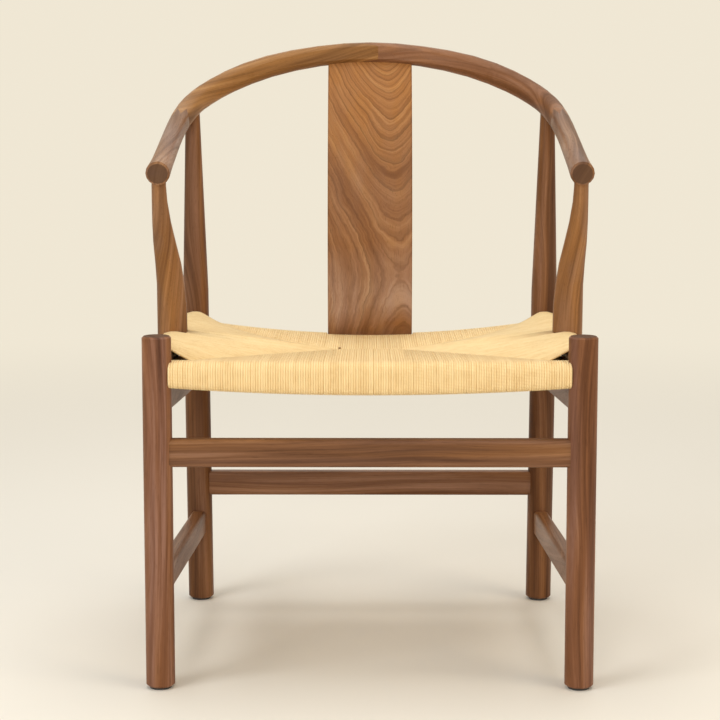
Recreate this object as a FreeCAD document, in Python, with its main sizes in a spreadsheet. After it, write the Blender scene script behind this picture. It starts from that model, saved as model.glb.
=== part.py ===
"""Horseshoe back armchair in walnut with a woven paper cord seat.

Frame: +X to the viewer's right seen from the front, +Y to the chair's back, +Z up, origin on the
floor under the middle of the chair. Left and right are the viewer's. Millimetres.
"""
import FreeCAD, Part
import math
import os

import Sketcher
from FreeCAD import Placement, Rotation, Vector

# Driving dimensions
SIZES = {
    # Legs and posts
    "leg_diameter": 36.0,
    "front_leg_height": 442.0,
    "front_leg_spacing": 521.0,
    "back_leg_spacing": 489.0,
    "leg_depth_spacing": 410.0,
    "leg_end_bevel": 2.2,
    "post_taper_start": 452.0,
    "post_top_diameter": 19.5,
    # Glides under the legs
    "glide_diameter": 27.0,
    "glide_thickness": 3.0,
    "glide_pin_diameter": 5.0,
    "glide_pin_length": 14.0,
    # Seat rails, heights to the wood's top
    "seat_rail_height": 27.0,
    "seat_rail_corner": 9.0,
    "front_rail_depth": 22.0,
    "front_rail_top": 408.0,
    "front_rail_belly": 8.5,
    "back_rail_depth": 28.0,
    "back_rail_top": 384.0,
    "side_rail_width": 32.0,
    "side_rail_corner": 13.0,
    "side_rail_front_top": 426.0,
    "side_rail_back_top": 418.0,
    "cord_slot_width": 5.0,
    "cord_slot_setback": 4.0,
    # Joints of the rails and stretchers in the legs
    "tenon_length": 23.0,
    "seat_tenon_height": 13.0,
    "seat_tenon_thickness": 12.0,
    "stretcher_tenon_height": 22.0,
    "stretcher_tenon_thickness": 10.0,
    # Stretchers, heights to their middles at the legs
    "stretcher_height": 34.5,
    "stretcher_thickness": 20.0,
    "stretcher_corner": 5.0,
    "front_stretcher_level": 297.5,
    "back_stretcher_level": 171.0,
    "low_side_front_level": 132.0,
    "low_side_back_level": 114.0,
    "high_side_front_level": 361.0,
    "high_side_back_level": 336.0,
    # Woven seat
    "cord_diameter": 3.0,
    "seat_middle_height": 395.0,
    "seat_middle_thickness": 14.0,
    "seat_bridge_width": 88.0,
    "weave_corner_inset": 24.0,
    "cord_bed": 0.7,
    # Splat
    "splat_width": 120.0,
    "splat_thickness": 10.0,
    "splat_bend_radius": 550.0,
    "splat_belly_height": 492.0,
    "splat_foot_setback": 6.0,
    "splat_tenon_depth": 12.0,
    "splat_top": 782.0,
    "splat_edge_bevel": 1.8,
    # Horseshoe rail, sizes along its centre line
    "rail_diameter": 31.6,
    "arm_half_span": 266.5,
    "arm_tip_setback": 95.0,
    "crest_setback": 485.0,
    "arm_tip_level": 634.6,
    "crest_level": 786.2,
    "arm_tip_bevel": 2.5,
    "finger_length": 24.0,
    "arm_joint_setback": 352.0,
    # Arm posts
    "arm_post_setback": 172.0,
    "arm_post_foot_outset": 2.5,
    "arm_post_lean": 54.0,
    "arm_post_foot_width": 39.2,
    "arm_post_foot_depth": 34.0,
    "arm_post_neck": 18.6,
    "arm_post_foot_drop": 5.0,
    "post_tenon_diameter": 13.0,
    "post_tenon_length": 18.0,
    # Room past a piece for a cutting body
    "overrun": 20.0,
}

# Stations of half the horseshoe rail from the arm's tip to the crest's middle, as shares of
# the half span, of the depth from tip to crest and of the rise from tip to crest
RAIL_PATH_SHARES = (
    (1.000, 0.000, 0.000),
    (0.999, 0.055, 0.028),
    (0.998, 0.145, 0.074),
    (0.998, 0.320, 0.166),
    (0.997, 0.500, 0.264),
    (0.980, 0.692, 0.397),
    (0.940, 0.820, 0.512),
    (0.876, 0.887, 0.606),
    (0.753, 0.939, 0.729),
    (0.543, 0.977, 0.869),
    (0.273, 0.996, 0.965),
    (0.000, 1.000, 1.000),
)
# Height and thickness of the rail's section there, as shares of its diameter at the tip
RAIL_HEIGHT_SHARES = (0.98, 0.95, 0.89, 0.873, 0.870, 0.940, 0.984, 1.0, 1.022, 0.994, 0.925, 0.921)
RAIL_THICKNESS_SHARES = (0.98, 0.95, 0.89, 0.873, 0.870, 0.940, 0.984, 1.0, 1.01, 1.01, 1.01, 1.01)
# How deep the flat inner face is carved, from the station over the back post to the crest's middle,
# as shares of the rail's diameter: below zero the cut stays clear of the wood
POST_STATION = 6
CARVING_SHARES = (-0.060, -0.012, 0.018, 0.045, 0.090, 0.115)

# Arm post from foot to arm: share of its height, then of its sideways and forward lean,
# then of its flare from neck to foot
ARM_POST_SHARES = (
    (0.00, 0.00, 0.00, 1.00),
    (0.19, 0.00, 0.07, 0.98),
    (0.31, 0.08, 0.18, 0.86),
    (0.44, 0.31, 0.36, 0.73),
    (0.57, 0.70, 0.58, 0.51),
    (0.69, 0.98, 0.77, 0.27),
    (0.81, 1.15, 0.91, 0.07),
    (0.90, 1.20, 0.97, 0.00),
    (1.00, 1.20, 1.00, 0.00),
)

FINGERS = 6
# Sides of each oval section of a carved piece, and sections from one station to the next
OVAL_SIDES = 16
SECTIONS_PER_SPAN = 2
# Sides of the slim back posts and of the glides, which are round on the real chair
POST_SIDES = 24
GLIDE_SIDES = 32
# How far a post's tenon reaches past the rail's centre, as a share of the rail's diameter
TENON_REACH_SHARE = 0.25
RAIL_TENON_LENGTH = f"sizes.rail_diameter * (1 + {TENON_REACH_SHARE})"
# Bevel on the front seat rail's bowed lower corners as a share of its upper corners' radius
BELLY_BEVEL_SHARE = 0.6
# Where a seat rail's cord stops beside a leg, as a share of the leg's radius from its axis
WRAP_END_SHARE = 0.92
# Strips of straight strands in half a side field of the woven seat
WEB_STRIPS = 4

SIDES = {"left": -1, "right": 1}

document = FreeCAD.newDocument("horseshoe_back_armchair")
sheet = document.addObject("Spreadsheet::Sheet", "sizes")
for row, (alias, value) in enumerate(SIZES.items(), start=1):
    sheet.set(f"A{row}", alias)
    sheet.set(f"B{row}", str(value))
    sheet.setAlias(f"B{row}", alias)
document.recompute()


def size(alias):
    """A driving dimension, read from the sheet."""
    return float(sheet.get(alias))


# Places that follow from the driving dimensions
LEG_RADIUS = size("leg_diameter") / 2
CREST_HALF_THICKNESS = size("rail_diameter") * RAIL_THICKNESS_SHARES[-1] / 2
OVERALL_DEPTH = LEG_RADIUS + size("crest_setback") + CREST_HALF_THICKNESS
FRONT_Y = LEG_RADIUS - OVERALL_DEPTH / 2
BACK_Y = FRONT_Y + size("leg_depth_spacing")
FRONT_X = size("front_leg_spacing") / 2
BACK_X = size("back_leg_spacing") / 2
CORD = size("cord_diameter")
AXES = (Vector(1, 0, 0), Vector(0, 1, 0), Vector(0, 0, 1))
HALF_RAIL = size("seat_rail_height") / 2
NODES = []


def node(label, made):
    """Name a finished piece and put it on the list of pieces to keep."""
    made.Label = label
    NODES.append(made)
    return made


def bound(made, **expressions):
    """Bind properties of an object to the sheet."""
    for name, expression in expressions.items():
        made.setExpression(name.replace("_of_", "."), expression)
    return made


def new_body(name):
    """An empty body."""
    return document.addObject("PartDesign::Body", name)


def new_sketch(body, role, offset=None):
    """A sketch on one of the body's origin planes, shifted along its normal by an expression."""
    sketch = body.newObject("Sketcher::SketchObject", body.Name + "_sketch")
    plane = [feature for feature in body.Origin.OriginFeatures if feature.Role == role][0]
    sketch.AttachmentSupport = [(plane, "")]
    sketch.MapMode = "FlatFace"
    if offset:
        sketch.setExpression("AttachmentOffset.Base.z", offset)
    return sketch


def constrain(sketch, kind, *where, named=None, expression=None):
    """Add a constraint, named and bound where it holds a size."""
    index = sketch.addConstraint(Sketcher.Constraint(kind, *where))
    if named:
        sketch.renameConstraint(index, named)
        sketch.setExpression("Constraints." + named, expression)


def draw_rectangle(sketch, wide, tall):
    """A rectangle centred on the sketch's origin, its sides bound to two expressions."""
    corners = [Vector(-1, -1), Vector(1, -1), Vector(1, 1), Vector(-1, 1)]
    for start, end in zip(corners, corners[1:] + corners[:1]):
        sketch.addGeometry(Part.LineSegment(start, end))
    for side in range(4):
        constrain(sketch, "Coincident", side, 2, (side + 1) % 4, 1)
    for side in (0, 2):
        constrain(sketch, "Horizontal", side)
    for side in (1, 3):
        constrain(sketch, "Vertical", side)
    constrain(sketch, "Symmetric", 0, 1, 2, 1, -1, 1)
    constrain(sketch, "DistanceX", 0, 1, 0, 2, 2, named="wide", expression=wide)
    constrain(sketch, "DistanceY", 1, 1, 1, 2, 2, named="tall", expression=tall)


def draw_circle(sketch, diameter, across=None):
    """A circle on the sketch's X axis, its diameter and its place bound to expressions."""
    sketch.addGeometry(Part.Circle(Vector(1 if across else 0, 0), Vector(0, 0, 1), 1))
    constrain(sketch, "Diameter", 0, 2, named="bore", expression=diameter)
    if across:
        constrain(sketch, "PointOnObject", 0, 3, -1)
        constrain(sketch, "DistanceX", -1, 1, 0, 3, 1, named="across", expression=across)
    else:
        constrain(sketch, "Coincident", 0, 3, -1, 1)


def new_pad(body, sketch, length, symmetric=False):
    """A pad of a sketch, its length bound to an expression."""
    pad = body.newObject("PartDesign::Pad", body.Name + "_pad")
    pad.Profile = sketch
    pad.SideType = "Symmetric" if symmetric else "One side"
    return bound(pad, Length=length)


def edge_names(feature, wanted):
    """Names of the feature's edges that a test picks out."""
    document.recompute()
    return [f"Edge{number}" for number, edge in enumerate(feature.Shape.Edges, start=1) if wanted(edge)]


def round_edges(body, feature, radius, wanted):
    """Round the edges of the body's last feature that a test picks out."""
    fillet = body.newObject("PartDesign::Fillet", body.Name + "_rounding")
    fillet.Base = (feature, edge_names(feature, wanted))
    return bound(fillet, Radius=radius)


def bevel_edges(body, feature, width, wanted):
    """Bevel the edges of the body's last feature that a test picks out."""
    chamfer = body.newObject("PartDesign::Chamfer", body.Name + "_bevel")
    chamfer.Base = (feature, edge_names(feature, wanted))
    return bound(chamfer, Size=width)


def cut(name, base, tools):
    """Cut tools from a base, one after the other."""
    made = base
    for number, tool in enumerate(tools, start=1):
        rest = made
        made = document.addObject("Part::Cut", f"{name}_{number}")
        made.Base = rest
        made.Tool = tool
    return made


def common(name, base, tool):
    """The part of a base that lies inside a tool."""
    made = document.addObject("Part::Common", name)
    made.Base = base
    made.Tool = tool
    return made


def fuse(name, pieces):
    """Join solids into one."""
    made = document.addObject("Part::MultiFuse", name)
    made.Shapes = list(pieces)
    return made


def centred_box(name, place, length, width, height):
    """A box bound to three expressions and centred on a place."""
    box = document.addObject("Part::Box", name)
    bound(box, Length=length, Width=width, Height=height)
    document.recompute()
    middle = Vector(box.Length.Value, box.Width.Value, box.Height.Value) / 2
    box.Placement = place * Placement(-middle, Rotation())
    return box


def upright_pin(name, base, diameter, length):
    """A pin that stands on a point."""
    pin = document.addObject("Part::Cylinder", name)
    pin.Placement = Placement(base, Rotation())
    return bound(pin, Radius=diameter + " / 2", Height=length)


def between(start, end):
    """The place midway between two points, its X axis along the line and its Z axis near upright."""
    along = end - start
    side = Vector(0, 0, 1).cross(along)
    return Placement((start + end) / 2, Rotation(along, side, along.cross(side), "XYZ"))


def mirrored(point):
    """The same point on the chair's other side."""
    return Vector(-point.x, point.y, point.z)


def oval(centre, side_axis, up_axis, half_side, half_up, sides=OVAL_SIDES):
    """A many-sided oval, so that a loft of ovals has light and clean facets."""
    turns = [2 * math.pi * step / sides for step in range(sides)]
    points = [
        centre + side_axis * (half_side * math.cos(turn)) + up_axis * (half_up * math.sin(turn))
        for turn in turns
    ]
    return Part.makePolygon(points + points[:1])


def smooth_line(points):
    """A smooth curve whose parameter is 0 at the first point, 1 at the second, and so on."""
    curve = Part.BSplineCurve()
    curve.interpolate(Points=points, Parameters=list(range(len(points))))
    return curve


def section_places(stations, per_span=SECTIONS_PER_SPAN):
    """Evenly spread parameters of a smooth line through stations, with its stations among them."""
    steps = (len(stations) - 1) * per_span
    return [step / per_span for step in range(steps + 1)]


# Horseshoe rail: centre line, lofted blank and carved inner face


def rail_stations():
    """Points of the rail's centre line from the left tip round to the right tip."""
    depth = size("crest_setback") - size("arm_tip_setback")
    rise = size("crest_level") - size("arm_tip_level")
    tip_y = FRONT_Y + size("arm_tip_setback")
    half = [
        Vector(across * size("arm_half_span"), tip_y + back * depth, size("arm_tip_level") + up * rise)
        for across, back, up in RAIL_PATH_SHARES
    ]
    return [Vector(-point.x, point.y, point.z) for point in half] + half[-2::-1]


def there_and_back(shares):
    """A table for half of the rail, repeated for the other half."""
    return list(shares) + list(shares)[-2::-1]


STATIONS = rail_stations()
LAST_PLACE = len(STATIONS) - 1
HALF_DIAMETER = size("rail_diameter") / 2
JOINT_Y = FRONT_Y + size("arm_joint_setback")
# The space that the rail's cutting blocks fill: their bottom, their top and how far out they reach
BLOCK_LOW = size("front_leg_height")
BLOCK_HIGH = size("crest_level") + size("overrun")
BLOCK_FAR = size("arm_half_span") + size("rail_diameter")
centre_line = smooth_line(STATIONS)
# The section's thickness, height and carving depth along the rail, as shares of its diameter
girth_line = smooth_line([Vector(thickness, height, 0) for thickness, height in
                          zip(there_and_back(RAIL_THICKNESS_SHARES), there_and_back(RAIL_HEIGHT_SHARES))])


def rail_axes(place):
    """The rail's directions at a place on its centre line: along, outward and up."""
    along = centre_line.tangent(place)[0]
    outward = AXES[2].cross(along).normalize()
    return along, outward, along.cross(outward)


def rail_section(place):
    """The oval across the rail at a place on its centre line."""
    outward, up = rail_axes(place)[1:]
    girth = girth_line.value(place) * HALF_DIAMETER
    return oval(centre_line.value(place), outward, up, girth.x, girth.y)


def bevelled_tip(place):
    """The smaller oval just beyond one of the rail's two ends."""
    along, outward, up = rail_axes(place)
    girth = girth_line.value(place) * HALF_DIAMETER
    bevel = size("arm_tip_bevel")
    beyond = bevel if place else -bevel
    return oval(centre_line.value(place) + along * beyond, outward, up, girth.x - bevel, girth.y - bevel)


def rail_stretch(name, first, last):
    """The rail between two places before carving: ovals square to the centre line, lofted."""
    sections = [rail_section(place) for place in section_places(STATIONS) if first <= place <= last]
    if first <= 0:
        sections.insert(0, bevelled_tip(0))
    if last >= LAST_PLACE:
        sections.append(bevelled_tip(LAST_PLACE))
    made = document.addObject("Part::Feature", name)
    made.Shape = Part.makeLoft(sections, True, True)
    return made


def carving_tool():
    """An upright block inside the back of the rail. Its outer wall is the carved inner face."""
    wall = []
    carved = range(POST_STATION, len(STATIONS) - POST_STATION)
    for place, depth in zip(carved, there_and_back(CARVING_SHARES)):
        outward = rail_axes(place)[1]
        surface = STATIONS[place] - outward * (girth_line.value(place).x - 2 * depth) * HALF_DIAMETER
        wall.append(Vector(surface.x, surface.y, BLOCK_LOW))
    face_line = Part.BSplineCurve()
    face_line.interpolate(wall)
    chord = Part.LineSegment(wall[-1], wall[0])
    outline = Part.Wire([face_line.toShape(), chord.toShape()])
    made = document.addObject("Part::Feature", "carving")
    made.Shape = Part.Face(outline).extrude(AXES[2] * (BLOCK_HIGH - BLOCK_LOW))
    return made


def zigzag_block(name, corners):
    """A tall block on a plan outline, used to part the rail at a finger joint."""
    made = document.addObject("Part::Feature", name)
    outline = [Vector(x, y, BLOCK_LOW) for x, y in corners]
    base = Part.Face(Part.makePolygon(outline + outline[:1]))
    made.Shape = base.extrude(AXES[2] * (BLOCK_HIGH - BLOCK_LOW))
    return made


def zigzag(middle):
    """Points across a finger joint: how far along the rail each lies, and how far across it."""
    pitch = size("rail_diameter") * (1 + 1 / FINGERS) / FINGERS
    points = []
    for index in range(FINGERS + 1):
        swing = size("finger_length") / 2 * (1 if index % 2 else -1)
        points.append((swing, middle + (index - FINGERS / 2) * pitch))
    return points


def arm_block(side):
    """The space of an arm, in front of the finger joint at its back end."""
    sign = SIDES[side]
    fingers = [(sign * across, JOINT_Y + along) for along, across in zigzag(size("arm_half_span"))]
    inner = (sign * BACK_X / 2, fingers[0][1])
    outer = (sign * BLOCK_FAR, fingers[-1][1])
    corners = [inner] + fingers + [outer, (outer[0], FRONT_Y), (inner[0], FRONT_Y)]
    return zigzag_block("arm_block_" + side, corners)


def left_half_block():
    """The space of the rail's left half, up to the finger joint in the crest's middle."""
    crest_y = FRONT_Y + size("crest_setback")
    fingers = zigzag(crest_y)
    behind = crest_y + size("rail_diameter")
    corners = [(fingers[0][0], FRONT_Y)] + fingers
    corners += [(fingers[-1][0], behind), (-BLOCK_FAR, behind), (-BLOCK_FAR, FRONT_Y)]
    return zigzag_block("left_half_block", corners)


joint_place = next(place for place in range(LAST_PLACE) if STATIONS[place].y > JOINT_Y)
middle_place = LAST_PLACE / 2
carving = carving_tool()
arm_blocks = {side: arm_block(side) for side in SIDES}
left_half = left_half_block()
crests = {
    "left": rail_stretch("crest_stretch_left", joint_place - 1, middle_place + 1),
    "right": rail_stretch("crest_stretch_right", middle_place - 1, LAST_PLACE - joint_place + 1),
}
crest_ends = {side: cut("crest_carved_" + side, crests[side], [carving, arm_blocks[side]]) for side in SIDES}
rail_pieces = {
    "arm_left": common("arm_left_blank", rail_stretch("arm_stretch_left", 0, joint_place + 1),
                       arm_blocks["left"]),
    "arm_right": common("arm_right_blank",
                        rail_stretch("arm_stretch_right", LAST_PLACE - joint_place - 1, LAST_PLACE),
                        arm_blocks["right"]),
    "crest_left": common("crest_left_blank", crest_ends["left"], left_half),
    "crest_right": cut("crest_right_blank", crest_ends["right"], [left_half]),
}

# Legs: blanks first, because the rails are fitted to them
POST_TOP = STATIONS[-1 - POST_STATION]
BACK_FOOT = Vector(BACK_X, BACK_Y, 0)


def leg_point(row, side, level):
    """A point on a leg's axis. The back legs lean a little, towards their tops under the rail."""
    if row == "front":
        point = Vector(FRONT_X, FRONT_Y, level)
    else:
        point = BACK_FOOT + (POST_TOP - BACK_FOOT) * (level / POST_TOP.z)
    return point if side == "right" else mirrored(point)


def front_leg_blank(side):
    """A straight round leg with bevelled ends, standing on its glide."""
    body = new_body("front_leg_blank_" + side)
    sketch = new_sketch(body, "XY_Plane", "sizes.glide_thickness")
    draw_circle(sketch, "sizes.leg_diameter")
    pad = new_pad(body, sketch, "sizes.front_leg_height - sizes.glide_thickness")
    bevel_edges(body, pad, "sizes.leg_end_bevel", lambda edge: edge.isClosed())
    body.Placement.Base = leg_point("front", side, 0)
    return body


def back_leg_blank(side):
    """A leg on one leaning axis: a turned shaft, and above the seat a post shaved to a slim top."""
    body = new_body("back_leg_blank_" + side)
    sketch = new_sketch(body, "XZ_Plane")
    top = leg_point("back", side, POST_TOP.z)
    foot = leg_point("back", side, 0)
    corners = [Vector(0, 0), Vector(1, 0), Vector(1, 1), Vector(1, 2), Vector(0, 2)]
    for start, end in zip(corners, corners[1:] + corners[:1]):
        sketch.addGeometry(Part.LineSegment(start, end))
    for line in range(len(corners)):
        constrain(sketch, "Coincident", line, 2, (line + 1) % len(corners), 1)
    bottom, bevel, shaft, cap, axis = range(len(corners))
    for line in (bottom, cap):
        constrain(sketch, "Horizontal", line)
    for line in (shaft, axis):
        constrain(sketch, "Vertical", line)
    constrain(sketch, "Coincident", axis, 2, -1, 1)
    constrain(sketch, "DistanceX", axis, 2, bottom, 2, 1, named="foot_radius",
              expression="sizes.leg_diameter / 2 - sizes.leg_end_bevel - sizes.glide_thickness")
    constrain(sketch, "DistanceX", axis, 2, bevel, 2, 1, named="leg_radius",
              expression="sizes.leg_diameter / 2")
    constrain(sketch, "DistanceY", axis, 2, bevel, 2, 1, named="bevel_end",
              expression="sizes.glide_thickness + sizes.leg_end_bevel")
    constrain(sketch, "DistanceY", axis, 2, axis, 1, 2, named="taper_start",
              expression="sizes.post_taper_start")
    turned = body.newObject("PartDesign::Revolution", body.Name + "_turned")
    turned.Profile = sketch
    turned.ReferenceAxis = (sketch, ["V_Axis"])
    lean = Rotation(AXES[2], top - foot)
    body.Placement = Placement(foot, lean)
    joint = foot + lean.multVec(AXES[2]) * size("post_taper_start")
    post = document.addObject("Part::Feature", "back_post_" + side)
    post.Shape = Part.makeLoft([
        oval(place, lean.multVec(AXES[0]), lean.multVec(AXES[1]), radius, radius, POST_SIDES)
        for place, radius in ((joint, LEG_RADIUS), (top, size("post_top_diameter") / 2))
    ], True, True)
    whole = fuse("back_leg_whole_" + side, [body, post])
    floor = centred_box("floor_" + side, Placement(foot, Rotation()), "2 * sizes.leg_diameter",
                        "2 * sizes.leg_diameter", "2 * sizes.glide_thickness")
    return cut("back_leg_levelled_" + side, whole, [floor])


leg_blanks = {}
for side in SIDES:
    leg_blanks["front", side] = front_leg_blank(side)
    leg_blanks["back", side] = back_leg_blank(side)

# Rails and stretchers between the legs


def bar_body(name, place, half_gap, thickness, height, corner):
    """A straight bar with rounded corners along its place's X axis."""
    body = new_body(name)
    sketch = new_sketch(body, "YZ_Plane")
    draw_rectangle(sketch, thickness, height)
    pad = new_pad(body, sketch, f"{2 * half_gap} mm", symmetric=True)
    round_edges(body, pad, corner, lambda edge: edge.Length > half_gap)
    body.Placement = place
    return body


def is_line(edge):
    """True for a straight edge."""
    return edge.Curve.TypeId == "Part::GeomLine"


def belly_body(name, place, half_gap, thickness, margin):
    """The front seat rail's bar, or with a margin the cord round it: its lower edge bows down."""
    body = new_body(name)
    sketch = new_sketch(body, "XZ_Plane")
    top = HALF_RAIL + margin
    ends = [Vector(-half_gap, top), Vector(half_gap, top), Vector(half_gap, -top), Vector(-half_gap, -top)]
    sketch.addGeometry(Part.LineSegment(ends[0], ends[1]))
    sketch.addGeometry(Part.LineSegment(ends[1], ends[2]))
    bottom = Vector(0, -top - size("front_rail_belly"))
    sketch.addGeometry(Part.Arc(ends[3], bottom, ends[2]))
    sketch.addGeometry(Part.LineSegment(ends[3], ends[0]))
    pad = new_pad(body, sketch, thickness, symmetric=True)
    corner = "sizes.seat_rail_corner" if not margin else "sizes.seat_rail_corner + sizes.cord_diameter"
    rounded = round_edges(body, pad, corner, lambda edge: edge.BoundBox.XLength > half_gap and is_line(edge))
    bevel_edges(body, rounded, corner + f" * {BELLY_BEVEL_SHARE}",
                lambda edge: edge.BoundBox.XLength > half_gap and not is_line(edge))
    body.Placement = place
    return body


def fit_member(label, ends, line, bar, tenon_size, extra_cuts=()):
    """Shape a bar's ends to the two legs that it joins, and give it tenons that run into them."""
    start, end = line
    reach = (end - start).Length - size("leg_diameter") + 2 * size("tenon_length")
    tenon = centred_box(label + "_tenon", between(start, end), f"{reach} mm", *tenon_size)
    coped = cut(label + "_coped", bar, [leg_blanks[leg] for leg in ends])
    made = fuse(label + "_fitted", [coped, tenon])
    if extra_cuts:
        made = cut(label + "_slotted", made, extra_cuts)
    node(label, made)
    for leg in ends:
        leg_tools[leg].append(tenon)


SEAT_TENON = ("sizes.seat_tenon_thickness", "sizes.seat_tenon_height")
STRETCHER_TENON = ("sizes.stretcher_tenon_thickness", "sizes.stretcher_tenon_height")
STRETCHER = ("sizes.stretcher_thickness", "sizes.stretcher_height", "sizes.stretcher_corner")
leg_tools = {key: [] for key in leg_blanks}


def add_stretcher(label, ends, levels):
    """A stretcher between two legs, at one level on each of them."""
    start, end = [leg_point(*leg, level) for leg, level in zip(ends, levels)]
    bar = bar_body(label + "_bar", between(start, end), (end - start).Length / 2, *STRETCHER)
    fit_member(label, ends, (start, end), bar, STRETCHER_TENON)


for row in ("front", "back"):
    level = size(row + "_stretcher_level")
    add_stretcher(row + "_stretcher", ((row, "left"), (row, "right")), (level, level))
for side in SIDES:
    for tier in ("low", "high"):
        add_stretcher(f"{tier}_side_stretcher_{side}", (("front", side), ("back", side)),
                      (size(tier + "_side_front_level"), size(tier + "_side_back_level")))

# Splat: a board bent to one arc, standing in the back seat rail and held by the crest
splat_foot_level = size("back_rail_top") - size("splat_tenon_depth")
splat_foot_y = leg_point("back", "right", size("back_rail_top")).y + size("splat_foot_setback")
bend = size("splat_bend_radius")
rise_to_belly = size("splat_belly_height") - size("back_rail_top")
bend_y = splat_foot_y + (bend ** 2 - rise_to_belly ** 2) ** 0.5


def splat_board():
    """The splat: a slice of a ring seen from the side, as wide as the board."""
    body = new_body("splat_board")
    sketch = new_sketch(body, "YZ_Plane")
    corners = []
    for radius in (bend + size("splat_thickness") / 2, bend - size("splat_thickness") / 2):
        for level in (splat_foot_level, size("splat_belly_height"), size("splat_top")):
            rise = level - size("splat_belly_height")
            corners.append(Vector(bend_y - (radius ** 2 - rise ** 2) ** 0.5, level))
    front_foot, front_belly, front_top, back_foot, back_belly, back_top = corners
    sketch.addGeometry(Part.Arc(front_foot, front_belly, front_top))
    sketch.addGeometry(Part.LineSegment(front_top, back_top))
    sketch.addGeometry(Part.Arc(back_foot, back_belly, back_top))
    sketch.addGeometry(Part.LineSegment(back_foot, front_foot))
    pad = new_pad(body, sketch, "sizes.splat_width", symmetric=True)
    bevel_edges(body, pad, "sizes.splat_edge_bevel", lambda edge: not is_line(edge))
    return body


splat = node("back_splat", splat_board())

# Seat rails and the cord round each of them
WRAP_HEIGHT = "sizes.seat_rail_height + 2 * sizes.cord_diameter"
BACK_WRAP_DEPTH = "sizes.back_rail_depth + 2 * sizes.cord_diameter"
# The splat's width and a cord's room on both sides
SPLAT_ROOM = "sizes.splat_width + 2 * sizes.cord_diameter"
wraps = []
rail_bars = []


def wrap_half_gap(start, end):
    """Half the length of the cord round a seat rail."""
    return (end - start).Length / 2 - LEG_RADIUS * WRAP_END_SHARE


def seat_rail_line(row):
    """The front or back seat rail's axis between the legs."""
    level = size(row + "_rail_top") - HALF_RAIL
    return leg_point(row, "left", level), leg_point(row, "right", level)


def side_rail_line(side):
    """A side seat rail's axis between the legs."""
    return (leg_point("front", side, size("side_rail_front_top") - HALF_RAIL),
            leg_point("back", side, size("side_rail_back_top") - HALF_RAIL))


SLOT_FRONT = seat_rail_line("back")[0].y - size("back_rail_depth") / 2 + size("cord_slot_setback")
SLOT_Y = SLOT_FRONT + size("cord_slot_width") / 2


def add_front_seat_rail():
    """The front seat rail and the cord round it, both with a bowed lower edge."""
    start, end = seat_rail_line("front")
    bar = belly_body("front_rail_bar", between(start, end), (end - start).Length / 2,
                     "sizes.front_rail_depth", 0)
    rail_bars.append(bar)
    wraps.append(belly_body("front_wrap", between(start, end), wrap_half_gap(start, end),
                            "sizes.front_rail_depth + 2 * sizes.cord_diameter", CORD))
    fit_member("front_seat_rail", (("front", "left"), ("front", "right")), (start, end), bar, SEAT_TENON)


def add_back_seat_rail():
    """The back seat rail with the splat's mortise and the cord's slot, and the cord round it."""
    start, end = seat_rail_line("back")
    cord_slot = centred_box("cord_slot", Placement(Vector(0, SLOT_Y, start.z), Rotation()),
                            SPLAT_ROOM, "sizes.cord_slot_width", "sizes.seat_rail_height + sizes.overrun")
    bar = bar_body("back_rail_bar", between(start, end), (end - start).Length / 2,
                   "sizes.back_rail_depth", "sizes.seat_rail_height", "sizes.seat_rail_corner")
    rail_bars.append(bar)
    wraps.append(bar_body("back_wrap", between(start, end), wrap_half_gap(start, end),
                          BACK_WRAP_DEPTH, WRAP_HEIGHT, "sizes.seat_rail_corner + sizes.cord_diameter"))
    fit_member("back_seat_rail", (("back", "left"), ("back", "right")), (start, end), bar, SEAT_TENON,
               extra_cuts=[cord_slot, splat])


add_front_seat_rail()
add_back_seat_rail()

# Arm posts: each stands on a side seat rail and leans out and forward to the arm
arm_post_foot_y = FRONT_Y + size("arm_post_setback")
arm_post_top_y = arm_post_foot_y - size("arm_post_lean")
foot_pins = {}
top_pins = {}
post_blanks = {}


def rail_point_at(y):
    """The point of the right arm's centre line at one depth."""
    plane = Part.Plane(Vector(0, y, 0), Vector(0, 1, 0))
    crossings = [point for point in centre_line.intersect(plane)[0] if point.X > 0]
    return Vector(crossings[0].X, crossings[0].Y, crossings[0].Z)


def side_rail_point_at(y):
    """The point of the right side seat rail's top, over its axis, at one depth."""
    start = leg_point("front", "right", size("side_rail_front_top"))
    end = leg_point("back", "right", size("side_rail_back_top"))
    return start + (end - start) * ((y - start.y) / (end.y - start.y))


def arm_post_foot():
    """The middle of the right arm post's foot, a little outside the side seat rail's axis."""
    return side_rail_point_at(arm_post_foot_y) + Vector(size("arm_post_foot_outset"), 0, 0)


def arm_post_blank(side):
    """The arm post as a loft of ovals, from inside the side rail's top to the arm's centre."""
    sign = SIDES[side]
    foot = arm_post_foot() - Vector(0, 0, size("arm_post_foot_drop"))
    top = rail_point_at(arm_post_top_y)
    flare_width = size("arm_post_foot_width") - size("arm_post_neck")
    flare_depth = size("arm_post_foot_depth") - size("arm_post_neck")
    axis = smooth_line([Vector(sign * (foot.x + (top.x - foot.x) * out),
                               foot.y + (top.y - foot.y) * forward,
                               foot.z + (top.z - foot.z) * up)
                        for up, out, forward, flare in ARM_POST_SHARES])
    flares = smooth_line([Vector(row[-1], index, 0) for index, row in enumerate(ARM_POST_SHARES)])
    sections = []
    for place in section_places(ARM_POST_SHARES, per_span=1):
        flare = flares.value(place).x
        sections.append(oval(axis.value(place), AXES[0], AXES[1],
                             (size("arm_post_neck") + flare_width * flare) / 2,
                             (size("arm_post_neck") + flare_depth * flare) / 2))
    made = document.addObject("Part::Feature", "arm_post_loft_" + side)
    made.Shape = Part.makeLoft(sections, True, True)
    return made


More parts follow.
